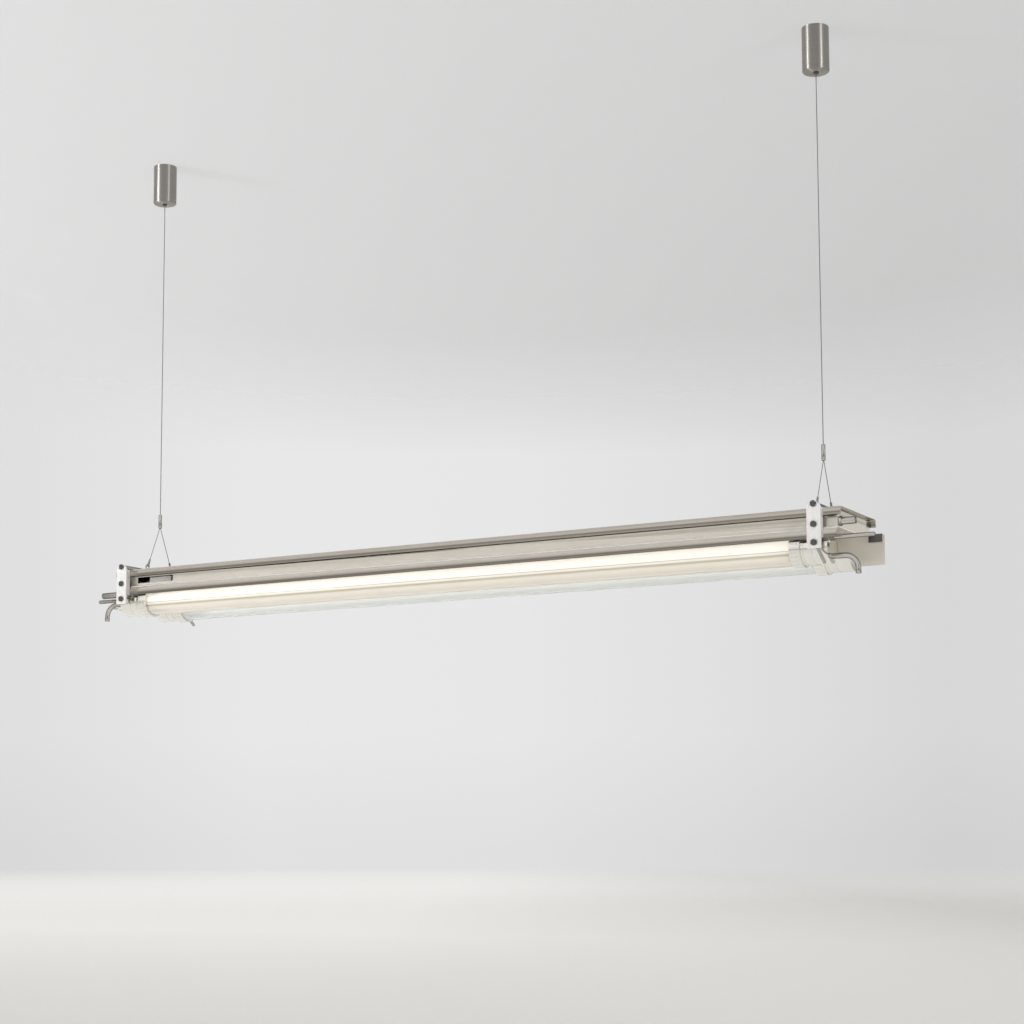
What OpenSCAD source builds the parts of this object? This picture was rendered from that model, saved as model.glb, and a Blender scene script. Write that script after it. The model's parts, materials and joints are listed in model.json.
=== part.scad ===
// Hanging strip light: a polished sheet housing over two glass tubes, hung on two wires from the ceiling.
// X runs along the light, the service side faces -Y, and the origin lies in the ceiling plane,
// half way between the two ceiling cups.

/* [Suspension] */
// How far inside a strap's middle each suspension wire hangs
cable_to_strap = 14.5; // [12:0.5:18]
// Height from the ceiling down to the middle screws of the side straps
hang_drop = 754; // [400:1:1600]
// Diameter of the suspension wire
cable_d = 1.5; // [1.2:0.1:2]
// Diameter of a ceiling cup
cup_d = 40; // [32:1:60]
// Height of a ceiling cup
cup_h = 68; // [50:1:90]
// Wall of a ceiling cup
cup_wall = 1.5; // [1:0.1:2.5]
// Radius of the screw hole in a ceiling base
fixing_hole_r = 2.25; // [1.75:0.25:3]
// Thickness of a ceiling base
base_h = 10; // [6:1:16]
// Length of the wire gripper below its cup
nipple_h = 3; // [2:0.5:8]
// Diameter of the ferrule that joins a wire to its bridle
ferrule_d = 6; // [5.5:0.1:9]
// Length of that ferrule
ferrule_h = 24; // [15:1:40]
// Height of a bridle's top above the middle screws
bridle_h = 105; // [90:1:160]
// Distance of a bridle eye from the centre line
bridle_y = 32; // [28:1:55]
// Diameter of the bridle wire
bridle_d = 1.2; // [1:0.1:1.6]

/* [Housing] */
// Width of the housing over its cover and lips
housing_w = 146; // [140:1:170]
// Thickness of the housing sheet
sheet = 1.5; // [1:0.1:2]
// Height of the cover's top above the middle screws
cover_top = 25; // [23:1:35]
// Depth of the cover's side flange
cover_flange = 12; // [8:1:14]
// Outer corner radius of the cover
cover_r = 4; // [3:0.5:8]
// How far a side web stands in from the housing's side
web_inset = 7; // [6:0.5:12]
// Depth of the tray's shoulder below the middle screws
shoulder_z = 2.5; // [1.5:0.5:4]
// Depth of the tray's lip below the middle screws
lip_z = 19; // [14:1:22]
// Outer radius of the tray's shoulder
shoulder_r = 8; // [4:1:10]
// How far the tray goes past the end caps on the left
tray_past_left = 6; // [4:1:20]
// How far the tray goes past the end caps on the right
tray_past_right = 16; // [8:1:30]
// How far the cover goes past the tray on the right
cover_past_right = 7; // [2:1:12]
// Length of a wiring window in the side web
window_l = 76; // [40:1:110]
// Height of a wiring window
window_h = 10; // [6:1:11]
// Thickness of a housing end plate
end_plate_t = 3; // [2:0.5:5]

/* [Tubes and lamps] */
// Length of a lamp between its two base faces
lamp_l = 1199; // [1190:1:1230]
// Diameter of a lamp
lamp_d = 26; // [24:1:28]
// Outer diameter of a glass tube
glass_d = 45; // [43:0.5:46]
// Wall of a glass tube
glass_wall = 2; // [1.5:0.1:2.5]
// How far a tube's axis stands in from the housing's side
tube_inset = 27; // [26:0.5:32]
// Depth of a tube's axis below the middle screws
tube_z = 30; // [30:0.5:34]
// Length of an end cap outside its glass
cap_l = 46; // [42:1:60]
// Wall of an end cap
cap_wall = 5; // [4:0.5:5.5]
// Length of a clamp ring
ring_l = 16; // [12:1:18]
// Wall of a clamp ring
ring_wall = 2.7; // [2:0.1:2.8]
// Number of grip flutes round a clamp ring
ring_flutes = 24; // [8:4:32]

/* [Straps and levers] */
// Width of a side strap
strap_w = 21; // [18:1:26]
// Thickness of a side strap
strap_t = 2.5; // [2:0.5:4]
// Gap between the housing's side and a strap's plate
strap_gap = 7; // [6.5:0.5:12]
// Depth of a strap's bottom screw below its middle screw
strap_down = 26; // [26:0.5:32]
// Radius of the strap screws' shanks
screw_r = 2.5; // [2:0.1:3]
// Length of the front right lever from its pivot
lever_front_l = 33; // [25:1:50]
// Length of the rear left lever from its pivot
lever_rear_l = 45; // [25:1:50]
// Radius of a locking lever's rod
lever_r = 3.2; // [2:0.1:3.2]
// Rest angle of the front right lever from hanging straight down
lever_rest_front = 25; // [0:1:60]
// Rest angle of the rear left lever from hanging straight down
lever_rest_rear = 43; // [0:1:60]

/* [End fittings] */
// Outer radius of the cable gland on the right housing end
gland_r = 5.3; // [5:0.1:7]
// Radius of the glands' cable way
gland_bore_r = 3.5; // [2.5:0.1:4]
// Length of the right gland
gland_l = 24; // [15:1:40]
// Length of the conduit stub on the left front cap
stub_l = 52; // [30:1:60]
// Outer radius of the bent spouts
spout_r = 4; // [3:0.1:4.5]
// Bore radius of the bent spouts
spout_bore_r = 2.6; // [1.5:0.1:2.8]
// Bend radius of the spouts
spout_bend = 20; // [12:1:26]
// Straight run of a spout after its bend
spout_drop = 7; // [4:1:20]
// Radius of the earth rods
rod_r = 3.2; // [2.5:0.1:4]
// Length of the left earth rod
rod_left_l = 73; // [40:1:90]
// Length of the right earth rod
rod_right_l = 64; // [40:1:90]
// Length of the plate at the right end, from the end caps outwards
fin_out = 61; // [40:1:80]
// Depth of that plate below the middle screws
fin_z = 53; // [45:1:60]
// Thickness of that plate
fin_t = 2; // [1.5:0.5:4]
// Width of the pan at the left end, along the light
pan_w = 38; // [25:1:50]
// Depth of the pan's underside below the middle screws
pan_z = 37; // [37:0.5:40]

/* [Inside] */
// Length of a control gear box
gear_l = 230; // [150:1:280]
// Width of a control gear box
gear_w = 42; // [30:1:50]
// Height of a control gear box
gear_h = 20; // [15:1:21]
// Length of the terminal block
block_l = 46; // [40:1:56]
// Radius of an inner wire with its insulation
wire_r = 1.1; // [0.8:0.1:1.3]

/* [Hidden] */
$fn = 48;
skin = 0.01;                                // overshoot of a cut
turn_gap = 0.08;                            // running clearance of turning parts
seat_gap = 0.3;                             // clearance of loose parts
cable_r = cable_d / 2;
bridle_r = bridle_d / 2;
cup_floor = 2.5;
cup_chamfer = 1.5;
rim_gap = 0.5;                              // cup rim to ceiling
base_d = cup_d - 2 * cup_wall - 2 * turn_gap;
nipple_r = 4;
nipple_end = -cup_h - nipple_h;
gripper_r = 6;
gripper_h = 22;
swing_z = nipple_end + 1;                   // the wires bend here
cable_top = swing_z + 1;
ferrule_top = bridle_h + ferrule_h;
housing_half = housing_w / 2;
web_y = housing_half - web_inset;
tube_y = housing_half - tube_inset;
tray_floor = -shoulder_z - sheet;           // underside of the tray's floor
cover_in = cover_top - sheet;               // underside of the cover's top
box_h = cover_in + shoulder_z;              // clear height inside the housing
lamp_half = lamp_l / 2;
cap_in = lamp_half - 5.5;                   // mouth of an end cap
cap_out = cap_in + cap_l;                   // back of an end cap
glass_end = cap_in - 4;
glass_r = glass_d / 2;
ring_in_r = glass_r + seat_gap;
ring_r = ring_in_r + ring_wall;
cap_r = ring_in_r - turn_gap;
spigot_r = glass_r - glass_wall - seat_gap;
spigot_l = 15;
cap_bore_r = min(cap_r - cap_wall, spigot_r - 2.2);
cap_floor = 4;
ring_start = cap_in - 10;
groove_depth = 0.8;
strap_x = cap_in + cap_l / 2 + 9.5;
cup_x = strap_x - cable_to_strap;           // the wires hang just inside the straps
strap_y = housing_half + strap_gap;         // inner face of a strap's plate
tray_left = cap_out + tray_past_left;
tray_right = cap_out + tray_past_right;
cover_right = tray_right + cover_past_right;
window_x = strap_x - 22 - window_l;         // inner end of a wiring window
window_z = 1;
boss_r = screw_r + 2;
tap_r = screw_r + 0.05;
head_r = screw_r + 2;
head_h = 2.6;
tie_r = screw_r + 1.2;
nut_r = 1.9 * screw_r;
nut_h = 4;
strap_up = cover_top + tie_r + seat_gap;    // the tie rods lie over the cover
lever_t = strap_gap - 2;
lever_tip = 1;
rod_in_gap_r = min(lever_r, lever_t / 2 - 0.2); // the rod stays inside its hub's thickness
hub_r = boss_r + 3;
eye_r = 1.25;
eye_ring_r = 4;
eye_post = 3;
eye_washer = 1.5;
eye_z = cover_top + eye_washer + eye_post + eye_ring_r;
loop_r = 3;
crimp_r = 1.7;
crimp_l = 8;
leg_y = bridle_y - 1.1;
leg_angle = atan2(leg_y, bridle_h - eye_z);
link = eye_ring_r + loop_r - eye_r - bridle_r - seat_gap;
leg_len = norm([leg_y, bridle_h - eye_z]) - link - loop_r + 1.5;
pin_r = 1.175;
pin_pitch = 12.7;
pin_l = 7;
lamp_base_l = 15.5;
lamp_wall = 1;
rotor_r = pin_pitch / 2 + pin_r + 1.6;
holder_face = lamp_half + 0.5;
holder_r = cap_bore_r - 0.4;
holder_back = cap_out - cap_floor;
rotor_l = 11;
gland_y = -web_y + 8;
gland_z = 5;
hex_across = 1.35;
nut_t = 4;
stub_y = -tube_y - 6;
stub_z = -tube_z + 16;
rod_left_y = -tube_y + 7;
rod_left_z = -tube_z + 8;
rod_right_z = -tube_z + 15;
spout_left_z = -tube_z - 0.5;
spout_right_z = -tube_z - 12;
spout_left_run = 28;
spout_right_run = 18;
fin_in = 50;                                // how far the plate reaches in between the caps
fin_notch_z = tube_z + 9.5;
fin_notch_r = 10;
fin_foot_w = 16;
fin_clip_l = 20;
fin_clip_h = 10;
pan_front = -tube_y - 6;
pan_rear = tube_y - 14;
pan_flange_h = 14;
grommet_x = cap_in + 15;
grommet_r = 3.2;
wire_hole_r = 2.2;
block_x = window_x + window_l / 2;
block_w = 17;
block_h = 14;
block_y = web_y - 22;
terminal_n = 5;
wire_lift = 9;

// ---- helpers ----

// Places its children in the light's own frame, whose zero height is the middle screws
module in_light() translate([0, 0, -hang_drop]) children();

// Draws its children at the right end, and mirrored at the left end when side is -1
module at_end(side) mirror([side < 0 ? 1 : 0, 0, 0]) children();

// Round bar along X from x0 to x1
module bar_x(x0, x1, y, z, r) translate([x0, y, z]) rotate([0, 90, 0]) cylinder(r = r, h = x1 - x0);

// Round bar along Y from y0 to y1
module bar_y(y0, y1, x, z, r) translate([x, y1, z]) rotate([90, 0, 0]) cylinder(r = r, h = y1 - y0);

// Block from one corner to the other
module block(low, high) translate(low) cube(high - low);

// Arch with two round top corners, standing on y = 0
module arch(w, h, r) {
    translate([-w / 2, 0]) square([w, h - r]);
    translate([-w / 2 + r, 0]) square([w - 2 * r, h]);
    for (s = [-1, 1]) translate([s * (w / 2 - r), h - r]) circle(r);
}

// Thin arch, open below
module arch_shell(w, h, r) difference() {
    arch(w, h, r);
    translate([0, -skin]) arch(w - 2 * sheet, h - sheet + skin, r - sheet);
}

// Sweeps a profile drawn in Y and Z along X
module along_x(x0, x1) translate([x0, 0, 0]) rotate([90, 0, 90]) linear_extrude(x1 - x0) children();

// Straight round wire between two points
module wire_piece(a, b, r) {
    d = b - a;
    translate(a) rotate([0, acos(d[2] / norm(d)), atan2(d[1], d[0])]) cylinder(r = r, h = norm(d));
}

// Bent wire through a list of points
module wire(points, r) for (i = [1 : len(points) - 1]) hull() for (p = [points[i - 1], points[i]])
    translate(p) sphere(r = r, $fn = 8);

// ---- ceiling fittings ----

module ceiling_base(side) color("silver") translate([side * cup_x, 0, -base_h]) difference() {
    cylinder(d = base_d, h = base_h);
    translate([0, 0, -skin]) cylinder(r = fixing_hole_r, h = base_h + 2 * skin);
    translate([0, 0, -skin]) cylinder(r1 = 2 * fixing_hole_r, r2 = fixing_hole_r, h = 2 * fixing_hole_r);
}

module ceiling_cup(side) color("lightgray") translate([side * cup_x, 0, -cup_h]) difference() {
    union() {
        cylinder(d1 = cup_d - 2 * cup_chamfer, d2 = cup_d, h = cup_chamfer);
        translate([0, 0, cup_chamfer]) cylinder(d = cup_d, h = cup_h - cup_chamfer - rim_gap);
    }
    translate([0, 0, cup_floor]) cylinder(d = cup_d - 2 * cup_wall, h = cup_h);
    translate([0, 0, -skin]) cylinder(r = nipple_r + turn_gap, h = cup_floor + 2 * skin);
}

module wire_gripper(side) color("gray") translate([side * cup_x, 0, nipple_end]) difference() {
    union() {
        cylinder(r1 = nipple_r - 1, r2 = nipple_r, h = 1);
        translate([0, 0, 1]) cylinder(r = nipple_r, h = nipple_h + cup_floor - 1);
        translate([0, 0, nipple_h + cup_floor]) cylinder(r = gripper_r, h = gripper_h);
    }
    translate([0, 0, -skin]) cylinder(r = cable_r + seat_gap, h = nipple_h + cup_floor + gripper_h + 2 * skin);
}

module cable(side) color("silver") translate([side * cup_x, 0, ferrule_top - hang_drop])
    cylinder(r = cable_r, h = cable_top - ferrule_top + hang_drop);

module ferrule(side) color("gray") in_light() translate([side * cup_x, 0, bridle_h]) difference() {
    union() {
        cylinder(d1 = ferrule_d - 1, d2 = ferrule_d, h = 1);
        translate([0, 0, 1]) cylinder(d = ferrule_d, h = ferrule_h - 2);
        translate([0, 0, ferrule_h - 1]) cylinder(d1 = ferrule_d, d2 = ferrule_d - 1, h = 1);
    }
    translate([0, 0, -skin]) cylinder(r = ferrule_d / 2 - 0.7, h = 3);
}

// One leg of a bridle: wire, crimp and the loop that hangs in its eye
module bridle_leg(row) translate([0, row * bridle_y, eye_z]) rotate([row * leg_angle, 0, 0]) {
    translate([0, 0, link]) rotate([90, 0, 0]) rotate_extrude() translate([loop_r, 0]) circle(bridle_r, $fn = 24);
    translate([0, 0, link + loop_r - bridle_r]) cylinder(r = crimp_r, h = crimp_l);
    translate([0, 0, link + loop_r]) cylinder(r = bridle_r, h = leg_len);
}

module bridle(side) color("silver") in_light() translate([side * cup_x, 0, 0])
    for (row = [-1, 1]) bridle_leg(row);

module bridle_eyes() color("silver") in_light() for (side = [-1, 1], row = [-1, 1])
    translate([side * cup_x, row * bridle_y, cover_top]) {
        cylinder(r = 5.5, h = eye_washer);
        translate([0, 0, eye_washer]) cylinder(r = screw_r, h = eye_post);
        translate([0, 0, eye_z - cover_top]) rotate([0, 90, 0])
            rotate_extrude() translate([eye_ring_r, 0]) circle(eye_r, $fn = 24);
    }

// ---- housing ----

module top_cover() color("silver") in_light() along_x(-tray_left, cover_right)
    translate([0, cover_top - cover_flange]) arch_shell(housing_w, cover_flange, cover_r);

module housing_tray() color("gainsboro") in_light() difference() {
    along_x(-tray_left, tray_right) {
        translate([0, -lip_z]) arch_shell(housing_w, lip_z - shoulder_z, shoulder_r);
        for (y = [-web_y, web_y - sheet]) translate([y, -shoulder_z - sheet / 2])
            square([sheet, box_h + sheet / 2]);
    }
    for (s = [-1, 1]) at_end(s) block(
        [window_x, s * web_y - 2 * sheet, window_z],
        [window_x + window_l, s * web_y + 2 * sheet, window_z + window_h]);
    for (side = [-1, 1], row = [-1, 1]) {
        bar_y(row * web_y - 2 * sheet, row * web_y + 2 * sheet, side * strap_x, 0, tap_r);
        translate([side * strap_x, row * (web_y - sheet - nut_h / 2), 0])
            cube([2 * nut_r + 1, nut_h, 2 * nut_r + 1], center = true);
        translate([side * grommet_x, row * tube_y, tray_floor - skin])
            cylinder(r = grommet_r + turn_gap, h = sheet + 2 * skin);
    }
}

module housing_end(x) difference() {
    block([x, -web_y + sheet, -shoulder_z], [x + end_plate_t, web_y - sheet, cover_in]);
    if (x > 0) bar_x(x - skin, x + end_plate_t + skin, gland_y, gland_z, gland_bore_r + 0.4);
}

module housing_end_left() color("gainsboro") in_light() housing_end(-tray_left);

module housing_end_right() color("gainsboro") in_light() housing_end(tray_right - end_plate_t);

// ---- straps ----

module strap(side, row) color("white") in_light() mirror([0, row < 0 ? 1 : 0, 0])
    translate([side * strap_x, 0, 0]) difference() {
        union() {
            block([-strap_w / 2, strap_y, -strap_down - 8.5], [strap_w / 2, strap_y + strap_t, strap_up - 6.5]);
            bar_y(strap_y, strap_y + strap_t, 0, strap_up - 6.5, strap_w / 2);
            for (s = [-1, 1]) translate([s * (strap_w / 2 - strap_t / 2), 0, 0])
                block([-strap_t / 2, housing_half, -lip_z], [strap_t / 2, strap_y, cover_top - 1]);
        }
        for (z = [-strap_down, 0, strap_up]) bar_y(strap_y - skin, strap_y + strap_t + skin, 0, z, tap_r);
    }

// Round-headed screw along Y, with its head outside the strap and a cross slot
module strap_screw(side, row, z, l) mirror([0, row < 0 ? 1 : 0, 0]) difference() {
    union() {
        bar_y(strap_y + strap_t, strap_y + strap_t + head_h, side * strap_x, z, head_r);
        bar_y(strap_y + strap_t - l, strap_y + strap_t + skin, side * strap_x, z, screw_r);
    }
    translate([side * strap_x - head_r, strap_y + strap_t + head_h - 1, z - 0.5]) cube([2 * head_r, 2, 1]);
}

module strap_screws() color("dimgray") in_light() for (side = [-1, 1], row = [-1, 1]) {
    strap_screw(side, row, strap_up, strap_t + 10);
    strap_screw(side, row, 0, strap_t + strap_y - web_y + sheet + 4);
    strap_screw(side, row, -strap_down, strap_t + 8);
}

module tie_rods() color("silver") in_light() for (side = [-1, 1]) difference() {
    bar_y(-strap_y, strap_y, side * strap_x, strap_up, tie_r);
    for (s = [0, 1]) mirror([0, s, 0]) bar_y(strap_y - 11, strap_y + skin, side * strap_x, strap_up, tap_r);
}

module web_nuts() color("gray") in_light() for (side = [-1, 1], row = [0, 1]) mirror([0, row, 0])
    difference() {
        translate([side * strap_x, web_y - sheet, 0]) rotate([90, 0, 0])
            cylinder(r = nut_r, h = nut_h, $fn = 6);
        bar_y(web_y - sheet - nut_h - skin, web_y - sheet + skin, side * strap_x, 0, tap_r);
    }

// ---- glass tubes, caps and rings ----

module on_tube(row) in_light() translate([0, row * tube_y, -tube_z]) children();

module glass_tube(row) color("lightcyan", 0.4) on_tube(row) difference() {
    bar_x(-glass_end, glass_end, 0, 0, glass_r);
    bar_x(-glass_end - skin, glass_end + skin, 0, 0, glass_r - glass_wall);
}

module end_cap(side, row) color("wheat") on_tube(row) at_end(side) difference() {
    union() {
        bar_x(cap_in - spigot_l, cap_in + 1, 0, 0, spigot_r);
        difference() {
            bar_x(cap_in, cap_out, 0, 0, cap_r);
            for (x = [cap_in + 10, strap_x - boss_r - 4.5]) difference() {
                bar_x(x, x + 2, 0, 0, cap_r + 1);
                bar_x(x - skin, x + 2 + skin, 0, 0, cap_r - groove_depth);
            }
        }
        mirror([0, row < 0 ? 1 : 0, 0])
            bar_y(cap_bore_r + 1, strap_y - tube_y, strap_x, tube_z - strap_down, boss_r);
    }
    bar_x(cap_in - spigot_l - skin, cap_out - cap_floor, 0, 0, cap_bore_r);
    mirror([0, row < 0 ? 1 : 0, 0])
        bar_y(strap_y - tube_y - 9, strap_y - tube_y + skin, strap_x, tube_z - strap_down, tap_r);
    translate([grommet_x, 0, 0]) cylinder(r = wire_hole_r, h = cap_r + 1);
    if (row < 0 && side < 0) bar_x(cap_out - cap_floor - skin, cap_out + skin,
        stub_y + tube_y, stub_z + tube_z, wire_hole_r);
}

module clamp_ring(side, row) color("silver") on_tube(row) at_end(side) difference() {
    bar_x(ring_start, ring_start + ring_l, 0, 0, ring_r);
    bar_x(ring_start - skin, ring_start + ring_l + skin, 0, 0, ring_in_r);
    for (i = [0 : ring_flutes - 1]) rotate([i * 360 / ring_flutes, 0, 0])
        bar_x(ring_start + 3, ring_start + ring_l - 3, 0, ring_r + 0.5, 1.2, $fn = 16);
}

module tube_seals() color("dimgray") for (side = [-1, 1], row = [-1, 1]) on_tube(row) at_end(side)
    difference() {
        bar_x(glass_end, cap_in, 0, 0, glass_r - 0.1);
        bar_x(glass_end - skin, cap_in + skin, 0, 0, spigot_r + 0.05);
    }

module lampholder_bodies() color("ivory") for (side = [-1, 1], row = [-1, 1]) on_tube(row) at_end(side)
    difference() {
        union() {
            bar_x(holder_face, holder_back, 0, 0, rotor_r + 3);
            bar_x(holder_face + 18, holder_back, 0, 0, holder_r);
        }
        bar_x(holder_face - skin, holder_face + rotor_l + 0.3, 0, 0, rotor_r + turn_gap);
    }

module grommets() color("dimgray") in_light() for (side = [-1, 1], row = [-1, 1])
    translate([side * grommet_x, row * tube_y, 0]) difference() {
        translate([0, 0, -tube_z + cap_r]) cylinder(r = grommet_r, h = tube_z - cap_r - shoulder_z + 2);
        translate([0, 0, -tube_z]) cylinder(r = wire_hole_r, h = tube_z + 5);
    }

// ---- lamps ----

module lamp(row) color("white") on_tube(row) difference() {
    bar_x(-lamp_half + lamp_base_l, lamp_half - lamp_base_l, 0, 0, lamp_d / 2);
    bar_x(-lamp_half, lamp_half, 0, 0, lamp_d / 2 - lamp_wall);
}

module lamp_bases(row) color("silver") for (side = [-1, 1]) on_tube(row) at_end(side) {
    bar_x(lamp_half - lamp_base_l, lamp_half - 1, 0, 0, lamp_d / 2);
    bar_x(lamp_half - 1, lamp_half, 0, 0, lamp_d / 2 - 1);
}

module lamp_pins(row) color("gold") for (side = [-1, 1]) on_tube(row) at_end(side)
    for (s = [-1, 1]) bar_x(lamp_half, lamp_half + pin_l, 0, s * pin_pitch / 2, pin_r);

module holder_rotors(row) color("ivory") for (side = [-1, 1]) on_tube(row) at_end(side) difference() {
    bar_x(holder_face, holder_face + rotor_l, 0, 0, rotor_r);
    for (s = [-1, 1])
        bar_x(holder_face - skin, lamp_half + pin_l + 0.5, 0, s * pin_pitch / 2, pin_r + 0.05);
}

// ---- locking levers ----

module lever(side, row, rest, length) color("gray") in_light() mirror([0, row < 0 ? 1 : 0, 0])
    translate([side * strap_x, strap_y - seat_gap - lever_t / 2, -strap_down]) rotate([0, -rest, 0])
        difference() {
            union() {
                bar_y(-lever_t / 2, lever_t / 2, 0, 0, hub_r);
                translate([0, 0, -length + lever_tip]) cylinder(r = rod_in_gap_r, h = length - lever_tip);
                translate([0, 0, -length]) cylinder(r1 = rod_in_gap_r - lever_tip, r2 = rod_in_gap_r, h = lever_tip);
            }
            bar_y(-strap_y, strap_y, 0, 0, boss_r + turn_gap);
        }

// ---- end fittings ----

module hex_x(x0, x1, y, z, r) translate([x0, y, z]) rotate([0, 90, 0]) cylinder(r = r, h = x1 - x0, $fn = 6);

module cable_gland_right() color("gray") in_light() difference() {
    union() {
        hex_x(tray_right, tray_right + nut_t, gland_y, gland_z, gland_r * hex_across);
        bar_x(tray_right, tray_right + gland_l, gland_y, gland_z, gland_r);
    }
    bar_x(tray_right - skin, tray_right + gland_l + skin, gland_y, gland_z, gland_bore_r);
}

module conduit_stub_left() color("gray") in_light() difference() {
    bar_x(-cap_out - stub_l, -cap_out, stub_y, stub_z, gland_r);
    bar_x(-cap_out - stub_l - skin, -cap_out + skin, stub_y, stub_z, gland_bore_r);
}

// Bent pipe out of an end cap: a straight run, a quarter bend and a short drop
module spout(side, z, run) color("gray") in_light() at_end(side) difference() {
    spout_solid(z, run, spout_r, 0);
    spout_solid(z, run, spout_bore_r, skin);
}

module spout_solid(z, run, r, past) {
    bar_x(cap_out - past, cap_out + run, -tube_y, z, r);
    translate([cap_out + run, -tube_y, z - spout_bend]) rotate([90, 0, 0])
        rotate_extrude(angle = 90) translate([spout_bend, 0]) circle(r);
    translate([cap_out + run + spout_bend, -tube_y, z - spout_bend - spout_drop - past])
        cylinder(r = r, h = spout_drop + past);
}

module earth_rod(side, y, z, l) color("silver") in_light() at_end(side) {
    hex_x(cap_out, cap_out + nut_t, y, z, rod_r * hex_across * 1.2);
    bar_x(cap_out, cap_out + l - rod_r, y, z, rod_r);
    translate([cap_out + l - rod_r, y, z]) sphere(r = rod_r);
}

// Plate that stands between the caps and reaches out past the right end, with a rounded notch below
module end_plate_right() color("wheat") in_light() difference() {
    union() {
        block([cap_out - fin_in, -fin_t / 2, -fin_z], [cap_out + fin_out, fin_t / 2, tray_floor]);
        block([cap_out - fin_in, -fin_foot_w / 2, tray_floor - fin_t], [cap_out, fin_foot_w / 2, tray_floor]);
    }
    block([cap_out - fin_in - 1, -fin_t, -fin_z - 1], [cap_out + 18 - fin_notch_r, fin_t, -fin_notch_z]);
    block([cap_out - fin_in - 1, -fin_t, -fin_z - 1], [cap_out + 18, fin_t, -fin_notch_z - fin_notch_r]);
    bar_y(-fin_t, fin_t, cap_out + 18 - fin_notch_r, -fin_notch_z - fin_notch_r, fin_notch_r);
    block([tray_right + 2, -fin_t, tray_floor - 6], [cap_out + fin_out + 1, fin_t, tray_floor + 1]);
    for (x = [cap_out - fin_in + 8, cap_out - 8], s = [-1, 1])
        translate([x, s * fin_foot_w / 4 + s, tray_floor - fin_t - 1]) cylinder(r = 1.55, h = fin_t + 2);
}

// Foot screws of the right plate, and the clip on its outer corner
module end_plate_fixings() color("dimgray") in_light() {
    for (x = [cap_out - fin_in + 8, cap_out - 8], s = [-1, 1]) translate([x, s * fin_foot_w / 4 + s, 0]) {
        translate([0, 0, tray_floor - fin_t]) cylinder(r = 1.5, h = fin_t);
        translate([0, 0, tray_floor - fin_t - 1.5]) cylinder(r = 2.4, h = 1.5);
    }
    difference() {
        block([cap_out + fin_out - fin_clip_l - 3, -fin_t / 2 - 2, tray_floor - 6 - fin_clip_h],
            [cap_out + fin_out - 3, fin_t / 2 + 2, tray_floor - 4.5]);
        block([cap_out + fin_out - fin_clip_l - 4, -fin_t / 2, tray_floor - 7 - fin_clip_h],
            [cap_out + fin_out - 2, fin_t / 2, tray_floor - 6]);
    }
}

// Shelf below the left cap fittings, hung on the backs of the two caps
module end_pan_left() color("gainsboro") in_light() at_end(-1) difference() {
    union() {
        block([cap_out, pan_front, -pan_z], [cap_out + pan_w, pan_rear, -pan_z + fin_t]);
        block([cap_out, pan_front, -pan_z], [cap_out + fin_t, pan_rear, -pan_z + pan_flange_h]);
    }
    bar_x(cap_out - skin, cap_out + fin_t + skin, -tube_y, spout_left_z, spout_r + seat_gap);
    bar_x(cap_out - skin, cap_out + fin_t + skin, rod_left_y, rod_left_z, rod_r * hex_across * 1.2 + 1);
    block([cap_out + spout_left_run - 4, pan_front - 1, -pan_z - 1],
        [cap_out + pan_w + 1, -tube_y + spout_r + 1, -pan_z + fin_t + 1]);
}

// ---- inside the housing ----

module control_gear() color("whitesmoke") in_light() for (s = [-1, 1]) {
    x0 = s * (gear_l / 2 + 20) - gear_l / 2;
    block([x0, -gear_w / 2, -shoulder_z], [x0 + gear_l, gear_w / 2, -shoulder_z + gear_h]);
    block([x0 - 10, -gear_w / 4, -shoulder_z], [x0 + gear_l + 10, gear_w / 4, -shoulder_z + 1.5]);
}

module terminal_block() color("dimgray") in_light() for (s = [-1, 1]) at_end(s) difference() {
    block([block_x - block_l / 2, s * block_y - block_w / 2, -shoulder_z],
        [block_x + block_l / 2, s * block_y + block_w / 2, -shoulder_z + block_h]);
    for (i = [0 : terminal_n - 1]) translate([terminal_x(i), s * block_y, 0])
        cylinder(r = 2.05, h = block_h);
}

function terminal_x(i) = block_x + (i - (terminal_n - 1) / 2) * block_l / (terminal_n + 0.5);

module terminal_screws() color("gold") in_light() for (s = [-1, 1], i = [0 : terminal_n - 1])
    at_end(s) translate([terminal_x(i), s * block_y, 0]) difference() {
        cylinder(r = 2, h = block_h - shoulder_z - 1);
        translate([-3, -0.4, block_h - shoulder_z - 2]) cube([6, 0.8, 2]);
    }

module inner_wires() color("tan") in_light() for (side = [-1, 1], row = [-1, 1]) at_end(side) {
    wire([
        [grommet_x, row * tube_y, -tube_z + cap_bore_r - 2],
        [grommet_x, row * tube_y, 2],
        [grommet_x - 8, row * (tube_y - 8), wire_lift],
        [window_x + window_l - 4, row * (block_y - block_w / 2 - 5), wire_lift],
        [window_x - 20, row * (block_y - block_w / 2 - 7), wire_lift - 3],
        [gear_l + 26, row * gear_w / 8, 2],
        [gear_l + 21.5, row * gear_w / 8, 2]
    ], wire_r);
}

// ---- the nodes ----

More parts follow.
